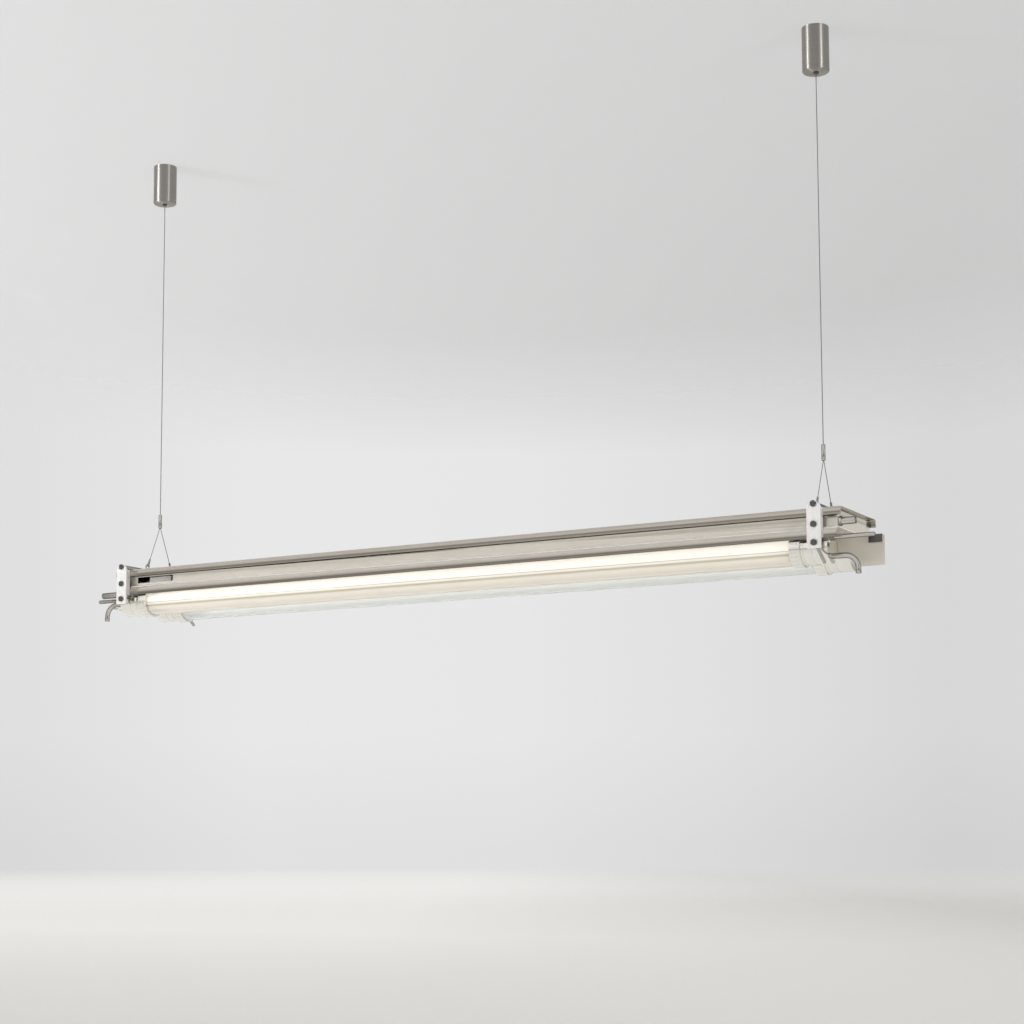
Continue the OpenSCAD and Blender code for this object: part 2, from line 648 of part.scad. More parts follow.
ceiling_base(-1);  // ceiling_base_left
ceiling_base(1);  // ceiling_base_right
ceiling_cup(-1);  // ceiling_cup_left
ceiling_cup(1);  // ceiling_cup_right
wire_gripper(-1);  // wire_gripper_left
wire_gripper(1);  // wire_gripper_right
cable(-1);  // cable_left
cable(1);  // cable_right
ferrule(-1);  // ferrule_left
ferrule(1);  // ferrule_right
bridle(-1);  // bridle_left
bridle(1);  // bridle_right
bridle_eyes();
top_cover();
housing_tray();
housing_end_left();
housing_end_right();
strap(-1, -1);  // strap_front_left
strap(1, -1);  // strap_front_right
strap(-1, 1);  // strap_rear_left
strap(1, 1);  // strap_rear_right
strap_screws();
tie_rods();
web_nuts();
glass_tube(-1);  // glass_tube_front
glass_tube(1);  // glass_tube_rear
end_cap(-1, -1);  // end_cap_front_left
end_cap(1, -1);  // end_cap_front_right
end_cap(-1, 1);  // end_cap_rear_left
end_cap(1, 1);  // end_cap_rear_right
clamp_ring(-1, -1);  // clamp_ring_front_left
clamp_ring(1, -1);  // clamp_ring_front_right
clamp_ring(-1, 1);  // clamp_ring_rear_left
clamp_ring(1, 1);  // clamp_ring_rear_right
tube_seals();
lampholder_bodies();
grommets();
lamp(-1);  // lamp_front
lamp_bases(-1);  // lamp_bases_front
lamp_pins(-1);  // lamp_pins_front
holder_rotors(-1);  // holder_rotors_front
lamp(1);  // lamp_rear
lamp_bases(1);  // lamp_bases_rear
lamp_pins(1);  // lamp_pins_rear
holder_rotors(1);  // holder_rotors_rear
lever(1, -1, lever_rest_front, lever_front_l);  // lever_front_right
lever(-1, 1, lever_rest_rear, lever_rear_l);  // lever_rear_left
cable_gland_right();
conduit_stub_left();
spout(-1, spout_left_z, spout_left_run);  // spout_left
spout(1, spout_right_z, spout_right_run);  // spout_right
earth_rod(-1, rod_left_y, rod_left_z, rod_left_l);  // earth_rod_left
earth_rod(1, -tube_y, rod_right_z, rod_right_l);  // earth_rod_right
end_plate_right();
end_plate_fixings();
end_pan_left();
control_gear();
terminal_block();
terminal_screws();
inner_wires();
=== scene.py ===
"""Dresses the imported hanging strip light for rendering: rounded sheet metal, spun cups, twisted wires,
lit tubes behind glass, and a plain studio with a ceiling and a floor."""

import json
import math

import bmesh
import bpy
from bpy.props import FloatProperty, FloatVectorProperty, IntProperty, PointerProperty
from mathutils import Matrix, Vector


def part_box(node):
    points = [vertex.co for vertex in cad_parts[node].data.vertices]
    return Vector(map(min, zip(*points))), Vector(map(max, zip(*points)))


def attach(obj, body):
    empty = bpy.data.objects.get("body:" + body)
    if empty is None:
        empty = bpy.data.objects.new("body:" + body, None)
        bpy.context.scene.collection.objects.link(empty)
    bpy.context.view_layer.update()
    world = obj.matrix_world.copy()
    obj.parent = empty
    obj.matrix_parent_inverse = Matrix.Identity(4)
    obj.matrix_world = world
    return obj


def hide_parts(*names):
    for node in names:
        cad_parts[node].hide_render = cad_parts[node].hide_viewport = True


bl_info = {
    "name": "Hanging Strip Light",
    "version": (1, 0, 0),
    "blender": (4, 5, 0),
    "location": "View3D > Sidebar > Strip Light",
    "description": "Builds the looks of a hanging strip light around its CAD part",
    "category": "Add Mesh",
}

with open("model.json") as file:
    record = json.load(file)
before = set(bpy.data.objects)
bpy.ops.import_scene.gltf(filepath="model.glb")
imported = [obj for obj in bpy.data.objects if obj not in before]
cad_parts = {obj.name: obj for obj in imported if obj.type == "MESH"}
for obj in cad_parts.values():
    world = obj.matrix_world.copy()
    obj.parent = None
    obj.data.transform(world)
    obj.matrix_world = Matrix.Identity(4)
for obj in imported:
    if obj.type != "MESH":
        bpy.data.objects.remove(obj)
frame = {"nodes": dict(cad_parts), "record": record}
BODY_OF = {n: body for body, nodes in frame["record"]["behaviour"]["bodies"].items() for n in nodes}
SLOT_OF = {row["node"]: row["material_slot"] for row in frame["record"]["subparts"]}
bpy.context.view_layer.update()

MM = 0.001
MERGE = 1e-6  # points nearer to each other than this are one
ROUND_STEPS = 96  # steps of a full turn

# Angles: faces that turn less than FLAT are one flat face, edges that turn more than a CORNER are rounded, and
# edges that turn more than a SHARP are shaded as sharp
FLAT = math.radians(0.5)
CORNER = math.radians(38)
CUP_CORNER = math.radians(30)
SHARP = math.radians(32)
LAID_SHARP = math.radians(60)

# How far edges are rounded, where it isn't the sheet's own radius
FINE_EDGE = 0.3 * MM
SMALL_EDGE = 0.35 * MM
CUP_EDGE = 0.45 * MM
CAP_EDGE = 0.5 * MM
STRAP_EDGE = 0.6 * MM
GEAR_EDGE = 0.8 * MM

# The spun cups
CUP_WALL = 1.5 * MM
CUP_FLOOR = 2.5 * MM
CUP_HOLE = 4.08 * MM
CUP_CHAMFER = 1.5 * MM

# The laid wires: points of the outline for each strand, steps of a turn, and depth of the grooves between strands
STRAND_POINTS = 4
TURN_STEPS = 10
GROOVE_DEPTH = 0.16

# Depths of the relief of the finishes, in m
LINE_DEPTH = 0.12 * MM
WAVE_DEPTH = 0.8 * MM
SKIN_DEPTH = 0.1 * MM

# Painted light of the glass, which colours it and makes it glow: the front tube's levels from 0 at its lowest line
# to 1 at its highest, with a painted highlight line near the bottom, cream below, painted dark lines and painted
# highlight lines in the middle, and white above; and the rear tube's painted glow, the same all along
GLASS_PAINTED_LIGHT = (
    (0.0, (0.66, 0.655, 0.64)),
    (0.03, (0.97, 0.96, 0.94)),
    (0.06, (0.81, 0.80, 0.78)),
    (0.25, (0.80, 0.795, 0.775)),
    (0.295, (0.55, 0.54, 0.465)),
    (0.325, (0.55, 0.54, 0.465)),
    (0.36, (0.86, 0.865, 0.85)),
    (0.405, (0.90, 0.90, 0.89)),
    (0.415, (0.58, 0.58, 0.56)),
    (0.43, (0.62, 0.62, 0.60)),
    (0.445, (1.0, 1.0, 1.0)),
    (1.0, (1.0, 1.0, 1.0)),
)
REAR_GLASS_GLOW = (0.79, 0.80, 0.785)
REAR_SIDE = (-0.01, 0.01)  # Y over which the front tube's tones give way to the rear tube's
LAMP_ENDS = (0.560, 0.597)  # distances from the middle over which a lamp goes dull
LAMP_END_LEVEL = 0.55  # how bright its ends stay
LAMP_COAT = (0.30, 0.29, 0.27)  # colour of its coat without its own light
GRAIN_LIGHT = 1.15  # how light the lightest brushed lines of a cup are
GRAIN_DARK = 0.72  # how far the darkest ones darken from there

# Levels of the sheet housing by height in m: painted shade that darkens it towards its folded edges, where it is
# matt (a duller web, and the shoulder, where the painted highlight shows as plain colour), and where the painted
# highlight line runs along the shoulder
SHEET_PAINTED_SHADE = (
    (-0.7735, 0.42),
    (-0.7724, 0.34),
    (-0.7705, 0.56),
    (-0.7655, 0.82),
    (-0.7600, 1.0),
    (-0.7415, 1.0),
    (-0.7409, 0.52),
    (-0.7390, 0.66),
    (-0.7350, 0.82),
    (-0.7322, 0.74),
    (-0.7300, 0.88),
    (-0.7285, 1.0),
)
SHEET_MATT = (
    (-0.7735, 0.0),
    (-0.7604, 0.0),
    (-0.7596, 1.0),
    (-0.7571, 1.0),
    (-0.7562, 0.55),
    (-0.7420, 0.55),
    (-0.7412, 0.0),
    (-0.7285, 0.0),
)
SHEET_HIGHLIGHT = (
    (-0.7735, 0.0),
    (-0.7604, 0.0),
    (-0.7596, 1.0),
    (-0.7571, 1.0),
    (-0.7562, 0.0),
    (-0.7285, 0.0),
)
PAINTED_HIGHLIGHT_LINE = (1.0, 0.985, 0.95)  # colour of the painted highlight line along the sheet's shoulder
MATT_METALLIC = 0.05  # how metallic the sheet is where it is matt
RIM_FACING = (0.1, 0.6)  # how far a surface turns away from the view while the painted shade along its edges comes in

# The camera, which stands low at the right: place in m, turns in degrees, and shift as a share of its width
CAMERA_PLACE = (1.647, -2.728, -1.202)
CAMERA_YAW = 29.67
CAMERA_PITCH = 5.97
CAMERA_ROLL = -0.20
CAMERA_SHIFT = 0.12
CAMERA_SENSOR = 36.0  # width in mm
CAMERA_REACH = 200.0  # how far it sees, in m

ACROSS = (0.869, 0.495)  # the way across the studio, along which its light falls off

# The floor and the ceiling: radius, distances over which they give way to the world, the span across the studio over
# which their painted light falls off, and how dark that painted shade gets
FLOOR = {"radius": 40.0, "fade": (3.0, 12.0), "falloff": (-0.2, 1.2), "dim": 0.69, "up": True}
CEILING = {"radius": 3.6, "fade": (1.5, 3.0), "falloff": (-0.9, 0.9), "dim": 0.80, "up": False}
FLOOR_FRONT = (-1.7, 0.4)  # Y over which the floor's painted light goes from dim in front to light behind
EVEN_SHARE = 0.68  # share of the floor and the ceiling that glows with painted light, so that they stay pale

# The walls' tones from 0 to 1 over their span across the studio, and the heights just above the horizon where
# they are a little darker
WALL_TONES = ((0.2, 0.92), (0.265, 0.93), (0.375, 1.01), (0.5, 1.0), (0.6, 0.94), (0.71, 0.85), (0.8, 0.88))
WALL_SPAN = (-0.5, 0.5)
WALL_FOOT = (0.0, 0.055)
WALL_FOOT_LEVELS = (0.935, 1.0)

# What metal mirrors: levels from 0 straight below to 1 straight above, their tint, and a dark patch on the camera's
# side, with its azimuth from -Y towards X and the distances from it over which it ends, in radians
MIRROR_TONES = (
    (0.0, 0.72),
    (0.44, 0.66),
    (0.475, 0.38),
    (0.512, 0.38),
    (0.532, 0.70),
    (0.545, 0.78),
    (0.62, 0.86),
    (1.0, 1.0),
)
MIRROR_TINT = (1.0, 0.975, 0.94)
DARK_PATCH = (0.20, 0.195, 0.185)
DARK_AZIMUTH = 0.62
DARK_SPREAD = (0.22, 0.42)

# Lights: name, place, target, width and height, power in W, and whether metal mirrors them. The low softboxes
# light all but the floor, and the strips light only the spun cups.
LOW_SOFTBOXES = (
    ("left_softbox", (-2.2, -2.6, -1.1), (0, 0, -0.2), (0.5, 0.5), 38, False),
    ("right_softbox", (3.6, -1.1, -0.95), (0.3, 0, -0.5), (0.6, 0.6), 18, False),
)
TOP_SOFTBOX = ("top_softbox", (0.4, -1.2, 2.6), (0, 0, -0.7), (2.6, 2.6), 30, False)
CUP_STRIPS = (
    ("left_strip", (-2.2, -2.6, -0.6), (0, 0, -0.4), (0.22, 1.1), 72, True),
    ("right_strip", (3.6, -1.1, -0.6), (0, 0, -0.4), (0.22, 1.1), 34, True),
)
STRIP_RECEIVERS = "upright_metal"


# ---- sizes and colours a user would change ----


def colour(name, description, value):
    """A colour that the panel shows"""
    return FloatVectorProperty(
        name=name, description=description, default=value, min=0.0, max=1.0, size=len(value), subtype="COLOR"
    )


class LightSizes(bpy.types.PropertyGroup):
    """Sizes of the details that the looks add to the CAD part"""

    edge_radius: FloatProperty(
        name="Edge radius", description="Rounding of sheet edges", default=0.0004, unit="LENGTH"
    )
    strand_pitch: FloatProperty(
        name="Strand pitch", description="Length of one turn of the wire strands", default=0.009, unit="LENGTH"
    )
    strand_count: IntProperty(name="Strands", description="Outer strands of a wire", default=6, min=3)
    lens: FloatProperty(name="Lens", description="Focal length of the camera in mm", default=71.16, unit="CAMERA")
    floor_drop: FloatProperty(
        name="Floor drop", description="Height of the ceiling above the floor", default=1.36, unit="LENGTH"
    )


class LightColours(bpy.types.PropertyGroup):
    """Colours of the finishes"""

    nickel: colour("Nickel", "Polished sheet", (0.74, 0.695, 0.625))
    cap: colour("Cap", "Bright caps, rings and pan", (0.96, 0.94, 0.89))
    plate: colour("Plate", "Satin right end plate", (0.82, 0.77, 0.68))
    # The straps' near-white colour is a painted reflection of the bright studio on their nickel
    strap: colour("Strap", "Bright side straps", (0.98, 0.98, 0.97))
    cup: colour("Cup", "Brushed ceiling cups", (0.40, 0.385, 0.36))
    fitting: colour("Fitting", "Brushed pipes, rods and levers", (0.68, 0.66, 0.62))
    dark: colour("Dark steel", "Screws and grippers", (0.16, 0.15, 0.15))
    wire: colour("Wire", "Suspension wire", (0.36, 0.36, 0.355))
    lamp_base: colour("Lamp base", "Bases of the lamps", (0.76, 0.76, 0.76))
    brass: colour("Brass", "Pins and terminal screws", (0.72, 0.52, 0.24))
    lamp: colour("Lamp", "Light of the tubes", (1.0, 0.975, 0.93))
    glass: colour("Glass", "Outer tubes", (1.0, 0.97, 0.915))
    plastic: colour("Plastic", "Lampholders", (0.86, 0.83, 0.76))
    rubber: colour("Rubber", "Seals and grommets", (0.03, 0.03, 0.03))
    block: colour("Block", "Terminal blocks", (0.80, 0.76, 0.72))
    gear: colour("Gear", "Painted control gear", (0.80, 0.80, 0.78))
    insulation: colour("Insulation", "Inner wires", (0.60, 0.42, 0.26))
    studio: colour("Studio", "Backdrop", (0.80, 0.80, 0.805))
    ceiling: colour("Ceiling", "Ceiling", (0.835, 0.835, 0.84))
    floor: colour("Floor", "Floor", (0.955, 0.945, 0.91))


def sizes():
    """The sizes in use"""
    return bpy.context.scene.strip_light_sizes


def colours():
    """The colours in use"""
    return bpy.context.scene.strip_light_colours


# ---- nodes, and the node groups that the materials share ----


def new_group(name, inputs, outputs):
    """An empty shader node group with its sockets, and its input and output nodes"""
    tree = bpy.data.node_groups.new(name, "ShaderNodeTree")
    for label, kind, value in inputs:
        tree.interface.new_socket(label, in_out="INPUT", socket_type=kind).default_value = value
    for label, kind in outputs:
        tree.interface.new_socket(label, in_out="OUTPUT", socket_type=kind)
    return tree, tree.nodes.new("NodeGroupInput"), tree.nodes.new("NodeGroupOutput")


def noise(tree, vector, scale, detail):
    """Cloudy grey levels"""
    node = tree.nodes.new("ShaderNodeTexNoise")
    node.inputs["Scale"].default_value = scale
    node.inputs["Detail"].default_value = detail
    tree.links.new(vector, node.inputs["Vector"])
    return node.outputs["Fac"]


def remap(tree, value, span=(0.0, 1.0), result=(0.0, 1.0)):
    """Carries the ends of span over to the ends of result, and stays at those beyond them"""
    node = tree.nodes.new("ShaderNodeMapRange")
    for label, number in zip(("From Min", "From Max", "To Min", "To Max"), (*span, *result)):
        node.inputs[label].default_value = number
    tree.links.new(value, node.inputs["Value"])
    return node.outputs["Result"]


def maths(tree, operation, first, second=None):
    """One step of arithmetic with numbers or sockets"""
    node = tree.nodes.new("ShaderNodeMath")
    node.operation = operation
    for socket, value in zip(node.inputs, (first, second)):
        if isinstance(value, (int, float)):
            socket.default_value = value
        elif value is not None:
            tree.links.new(value, socket)
    return node.outputs[0]


def weighted(tree, values, shares):
    """The sum of two values, each times its share"""
    return maths(tree, "ADD", *(maths(tree, "MULTIPLY", value, share) for value, share in zip(values, shares)))


def axes_of(tree, vector):
    """The X, Y and Z sockets of a vector"""
    node = tree.nodes.new("ShaderNodeSeparateXYZ")
    tree.links.new(vector, node.inputs["Vector"])
    return node.outputs


def stretched(tree, vector, scale):
    """A vector scaled by a different number along each axis"""
    node = tree.nodes.new("ShaderNodeMapping")
    node.inputs["Scale"].default_value = scale
    tree.links.new(vector, node.inputs["Vector"])
    return node.outputs["Vector"]


def scaled(tree, vector, factor):
    """A vector or a colour times a socket's value"""
    node = tree.nodes.new("ShaderNodeVectorMath")
    node.operation = "SCALE"
    tree.links.new(vector, node.inputs[0])
    tree.links.new(factor, node.inputs["Scale"])
    return node.outputs[0]


def brushed_grain():
    """Fine parallel lines. The vector comes in already stretched along the lines."""
    tree, start, end = new_group(
        "brushed_grain",
        [("Vector", "NodeSocketVector", (0, 0, 0))],
        [("Height", "NodeSocketFloat"), ("Tone", "NodeSocketFloat")],
    )
    fine = noise(tree, start.outputs["Vector"], scale=1.0, detail=3.0)
    coarse = noise(tree, start.outputs["Vector"], scale=0.22, detail=2.0)
    both = weighted(tree, (fine, coarse), shares=(0.6, 0.4))
    for label in ("Height", "Tone"):
        tree.links.new(both, end.inputs[label])
    return tree


def handling_marks():
    """Soft patches where a surface was touched or wiped"""
    tree, start, end = new_group(
        "handling_marks",
        [("Vector", "NodeSocketVector", (0, 0, 0)), ("Scale", "NodeSocketFloat", 1.0)],
        [("Mask", "NodeSocketFloat")],
    )
    place = scaled(tree, start.outputs["Vector"], start.outputs["Scale"])
    cloud = noise(tree, place, scale=7.0, detail=4.0)
    speck = noise(tree, place, scale=60.0, detail=2.0)
    both = weighted(tree, (cloud, speck), shares=(0.75, 0.25))
    tree.links.new(remap(tree, both, span=(0.38, 0.66)), end.inputs["Mask"])
    return tree


def rolled_sheet():
    """Long shallow draw lines that polished sheet keeps from rolling"""
    tree, start, end = new_group(
        "rolled_sheet", [("Vector", "NodeSocketVector", (0, 0, 0))], [("Height", "NodeSocketFloat")]
    )
    along = stretched(tree, start.outputs["Vector"], (0.8, 120.0, 120.0))
    tree.links.new(noise(tree, along, scale=1.0, detail=1.0), end.inputs["Height"])
    return tree


def moulded_speckle():
    """The fine orange-peel of moulded plastic and paint"""
    tree, start, end = new_group(
        "moulded_speckle", [("Vector", "NodeSocketVector", (0, 0, 0))], [("Height", "NodeSocketFloat")]
    )
    tree.links.new(noise(tree, start.outputs["Vector"], scale=900.0, detail=1.0), end.inputs["Height"])
    return tree


GROUPS = {}


def group_node(tree, build, vector):
    """Places a shared group, which is built on its first use"""
    if build.__name__ not in GROUPS:
        GROUPS[build.__name__] = build()
    node = tree.nodes.new("ShaderNodeGroup")
    node.node_tree = GROUPS[build.__name__]
    tree.links.new(vector, node.inputs["Vector"])
    return node


# ---- materials ----


def start_material(name):
    """A new material with its nodes, its shader and the object coordinates"""
    material = bpy.data.materials.new(name)
    material.use_nodes = True
    tree = material.node_tree
    place = tree.nodes.new("ShaderNodeTexCoord").outputs["Object"]
    return material, tree, tree.nodes["Principled BSDF"], place


def colour_mix(tree, mask, first, second, blend="MIX"):
    """A colour that goes from first to second as the mask fills; each is a value or a socket"""
    mix = tree.nodes.new("ShaderNodeMix")
    mix.data_type = "RGBA"
    mix.blend_type = blend
    for label, value in (("Factor", mask), ("A", first), ("B", second)):
        if isinstance(value, bpy.types.NodeSocket):
            tree.links.new(value, mix.inputs[label])
        else:
            mix.inputs[label].default_value = value if label == "Factor" else (*value, 1)
    return mix.outputs["Result"]


def mix_shaders(tree, mask, first, second):
    """A surface that goes from first to second as the mask fills"""
    mix = tree.nodes.new("ShaderNodeMixShader")
    for socket, value in zip(mix.inputs, (mask, first, second)):
        tree.links.new(value, socket)
    return mix.outputs["Shader"]


def tinted(tree, shader, mask, base, factor):
    """Base colour that darkens by factor where the mask is full"""
    darker = [channel * factor for channel in base]
    tree.links.new(colour_mix(tree, mask, base, darker), shader.inputs["Base Color"])


def recoloured(tree, shader, mask, colour_or_socket, blend="MIX"):
    """Mixes one more colour into the base colour that the shader already has"""
    before = shader.inputs["Base Color"].links[0].from_socket
    tree.links.new(colour_mix(tree, mask, before, colour_or_socket, blend), shader.inputs["Base Color"])


def ramp(tree, value, stops):
    """Colours along a value, from (position, colour) pairs with the lowest first"""
    node = tree.nodes.new("ShaderNodeValToRGB")
    elements = node.color_ramp.elements
    for element, (position, tone) in zip(elements, (stops[0], stops[-1])):
        element.position, element.color = position, (*tone, 1)
    for position, tone in stops[1:-1]:
        elements.new(position).color = (*tone, 1)
    tree.links.new(value, node.inputs["Fac"])
    return node.outputs["Color"]


def height_ramp(tree, place, low, high, stops):
    """Colours by height between low and high, which are the ramp's 0 and 1"""
    return ramp(tree, remap(tree, axes_of(tree, place)["Z"], (low, high)), stops)


def band_mask(tree, place, levels):
    """Grey levels by height, from (height, level) pairs with the lowest first"""
    low, high = levels[0][0], levels[-1][0]
    return height_ramp(tree, place, low, high, [((z - low) / (high - low), (level,) * 3) for z, level in levels])


def painted_sheet_bands(tree, shader, place):
    """Rolled sheet: painted shade towards its folded edges, a duller web, and a painted highlight line along the
    shoulder
    """
    # Painted shade: the sheet darkens by height towards its folded edges
    recoloured(tree, shader, 1.0, band_mask(tree, place, SHEET_PAINTED_SHADE), "MULTIPLY")
    # Painted highlight: a bright line of plain colour along the shoulder
    recoloured(tree, shader, band_mask(tree, place, SHEET_HIGHLIGHT), PAINTED_HIGHLIGHT_LINE)
    # The metal turns matt on the web and under the painted highlight line, so that the line shows as plain colour
    matt = remap(tree, band_mask(tree, place, SHEET_MATT), result=(1.0, MATT_METALLIC))
    tree.links.new(matt, shader.inputs["Metallic"])


def bump(tree, shader, height, strength, distance):
    """Relief from a height of 0 to 1, where 1 is the distance in m"""
    node = tree.nodes.new("ShaderNodeBump")
    node.inputs["Strength"].default_value = strength
    node.inputs["Distance"].default_value = distance
    tree.links.new(height, node.inputs["Height"])
    tree.links.new(node.outputs["Normal"], shader.inputs["Normal"])


def marks(tree, place, scale):
    """The mask of the patches where a surface was touched"""
    node = group_node(tree, handling_marks, place)
    node.inputs["Scale"].default_value = scale
    return node.outputs["Mask"]


def marked(tree, shader, place, scale, rough):
    """Roughness that goes from one value to the other where the surface was touched; gives the mask"""
    mask = marks(tree, place, scale)
    tree.links.new(remap(tree, mask, result=rough), shader.inputs["Roughness"])
    return mask


def metal(
    name,
    base,
    rough,
    lines=None,
    depth=0.0,
    waves=0.0,
    mark_scale=1.0,
    worn=0.94,
    metallic=1.0,
    painted_bands=False,
    rim=None,
):
    """A metal with wiped patches, and either brushed lines or the long waves of sheet.

    lines is the stretch of the lines and depth their strength, waves is the strength of the waves, worn is how dark
    the patches are, the housing flag adds the sheet's painted shade towards its folded edges and its painted
    highlight line along the shoulder, and rim is how dark the painted shade gets where the surface turns away from
    the view.
    """
    material, tree, shader, place = start_material(name)
    shader.inputs["Metallic"].default_value = metallic
    tinted(tree, shader, marked(tree, shader, place, mark_scale, rough), base, worn)
    # Painted shade and a painted highlight line on the housing's sheet
    if painted_bands:
        painted_sheet_bands(tree, shader, place)
    # Painted shade: the surface darkens where it turns away from the view, for a dark outline
    if rim:
        facing = tree.nodes.new("ShaderNodeLayerWeight").outputs["Facing"]
        recoloured(tree, shader, remap(tree, facing, RIM_FACING), [channel * rim for channel in base])
    if lines:
        grain = group_node(tree, brushed_grain, stretched(tree, place, lines))
        bump(tree, shader, grain.outputs["Height"], depth, LINE_DEPTH)
    elif waves:
        sheet = group_node(tree, rolled_sheet, place)
        bump(tree, shader, sheet.outputs["Height"], waves, WAVE_DEPTH)
    return material


def brushed_round(name, base, rough):
    """A turned cup, brushed round its axis, so that lights stretch into upright strips"""
    material, tree, shader, place = start_material(name)
    shader.inputs["Metallic"].default_value = 1.0
    shader.inputs["Anisotropic"].default_value = 0.95
    shader.inputs["Anisotropic Rotation"].default_value = 0.25
    tangent = tree.nodes.new("ShaderNodeTangent")
    tangent.direction_type = "RADIAL"
    tangent.axis = "Z"
    tree.links.new(tangent.outputs["Tangent"], shader.inputs["Tangent"])
    grain = group_node(tree, brushed_grain, stretched(tree, place, (30, 30, 2600)))
    tinted(tree, shader, grain.outputs["Tone"], [channel * GRAIN_LIGHT for channel in base], GRAIN_DARK)
    marked(tree, shader, place, scale=3.0, rough=rough)
    bump(tree, shader, grain.outputs["Height"], strength=0.08, distance=SKIN_DEPTH)
    return material


def moulded(name, base, rough, shine=0.5):
    """A plastic, rubber or paint with a fine skin and wiped patches"""
    material, tree, shader, place = start_material(name)
    shader.inputs["Specular IOR Level"].default_value = shine
    tinted(tree, shader, marked(tree, shader, place, scale=6.0, rough=rough), base, factor=0.85)
    skin = group_node(tree, moulded_speckle, place)
    bump(tree, shader, skin.outputs["Height"], strength=0.15, distance=SKIN_DEPTH)
    return material


def lit_lamp(name, base):
    """White coated lamp, lit, and duller just before its bases"""
    material, tree, shader, place = start_material(name)
    shader.inputs["Roughness"].default_value = 0.35
    shader.inputs["Emission Strength"].default_value = 0.7
    dull = remap(tree, maths(tree, "ABSOLUTE", axes_of(tree, place)["X"]), LAMP_ENDS)
    ends = colour_mix(tree, dull, base, [channel * LAMP_END_LEVEL for channel in base])
    tree.links.new(ends, shader.inputs["Emission Color"])
    tinted(tree, shader, marks(tree, place, scale=2.0), LAMP_COAT, factor=0.9)
    return material


def clear_glass(name, base):
    """Faintly milky tube glass, lit from inside.

    Its colour and glow are painted light: the front tube is white above and cream below, with painted highlight
    lines and painted dark lines along it, and the rear tube's painted glow is the same all along.
    """
    material, tree, shader, place = start_material(name)
    low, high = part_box("glass_tube_front")
    stops = [(z, [channel * tone for channel, tone in zip(base, tones)]) for z, tones in GLASS_PAINTED_LIGHT]
    rear = remap(tree, axes_of(tree, place)["Y"], REAR_SIDE)
    tones = colour_mix(tree, rear, height_ramp(tree, place, low[2], high[2], stops), REAR_GLASS_GLOW)
    tree.links.new(tones, shader.inputs["Base Color"])
    # The same painted levels make the glass glow: painted light of the lamp inside
    tree.links.new(tones, shader.inputs["Emission Color"])
    shader.inputs["Emission Strength"].default_value = 0.11
    shader.inputs["Transmission Weight"].default_value = 0.62
    shader.inputs["IOR"].default_value = 1.47
    marked(tree, shader, place, scale=3.0, rough=(0.0, 0.02))
    shadow = tree.nodes.new("ShaderNodeLightPath").outputs["Is Shadow Ray"]
    clear = tree.nodes.new("ShaderNodeBsdfTransparent").outputs["BSDF"]
    surface = mix_shaders(tree, shadow, shader.outputs["BSDF"], clear)
    tree.links.new(surface, tree.nodes["Material Output"].inputs["Surface"])
    return material


def finishes():
    """One material for each of the record's slots"""
    c = colours()
    metals = {
        # The housing's sheet carries painted shade towards its folded edges and a painted highlight line along its
        # shoulder
        "polished_nickel": dict(base=c.nickel, rough=(0.07, 0.13), waves=0.05, painted_bands=True),
        "bright_cap": dict(base=c.cap, rough=(0.10, 0.18), waves=0.05),
        "warm_plate": dict(base=c.plate, rough=(0.42, 0.52), lines=(900, 900, 60), depth=0.06, metallic=0.3),
        # Near-white and mostly matt: a painted reflection of the bright studio on the nickel straps
        "bright_strap": dict(
            base=c.strap, rough=(0.30, 0.36), lines=(900, 900, 40), depth=0.03, worn=0.98, metallic=0.3
        ),
        # Pipes, rods and levers get painted shade along their outlines
        "brushed_fitting": dict(base=c.fitting, rough=(0.12, 0.20), lines=(60, 1400, 1400), depth=0.06, rim=0.15),
        "dark_steel": dict(base=c.dark, rough=(0.28, 0.42), lines=(700, 700, 700), depth=0.12, mark_scale=8.0),
        "steel_wire": dict(base=c.wire, rough=(0.28, 0.40), lines=(900, 900, 60), depth=0.2, mark_scale=8.0),
        "lamp_base": dict(base=c.lamp_base, rough=(0.22, 0.36), lines=(40, 900, 900), depth=0.2),
        "brass": dict(base=c.brass, rough=(0.20, 0.34), lines=(900, 900, 900), depth=0.1, mark_scale=8.0),
    }
    mouldings = {
        "holder_plastic": dict(base=c.plastic, rough=(0.32, 0.45)),
        "seal_rubber": dict(base=c.rubber, rough=(0.60, 0.80), shine=0.3),
        "gear_paint": dict(base=c.gear, rough=(0.30, 0.45)),
        "terminal_plastic": dict(base=c.block, rough=(0.35, 0.50)),
        "wire_insulation": dict(base=c.insulation, rough=(0.45, 0.60)),
    }
    return {
        **{slot: metal(slot, **looks) for slot, looks in metals.items()},
        **{slot: moulded(slot, **looks) for slot, looks in mouldings.items()},
        "brushed_cup": brushed_round("brushed_cup", c.cup, (0.46, 0.50)),
        "clear_glass": clear_glass("clear_glass", c.glass),
        "lamp_white": lit_lamp("lamp_white", c.lamp),
    }


MATERIALS = {}


def finish(slot):
    """The material of a slot; all are made on the first call"""
    if not MATERIALS:
        MATERIALS.update(finishes())
    return MATERIALS[slot]


# ---- making pieces ----


def add_piece(shape, name, body, slot, replaced, sharp=SHARP):
    """Turns a bmesh into a piece with its material, body and slot, which stands for the replaced nodes"""
    for face in shape.faces:
        face.smooth = True
    for edge in shape.edges:
        edge.smooth = len(edge.link_faces) == 2 and edge.calc_face_angle() < sharp
    mesh = bpy.data.meshes.new(name)
    shape.to_mesh(mesh)
    shape.free()
    piece = bpy.data.objects.new(name, mesh)
    bpy.context.collection.objects.link(piece)
    mesh.materials.append(finish(slot))
    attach(piece, body)
    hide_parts(*replaced)
    return piece


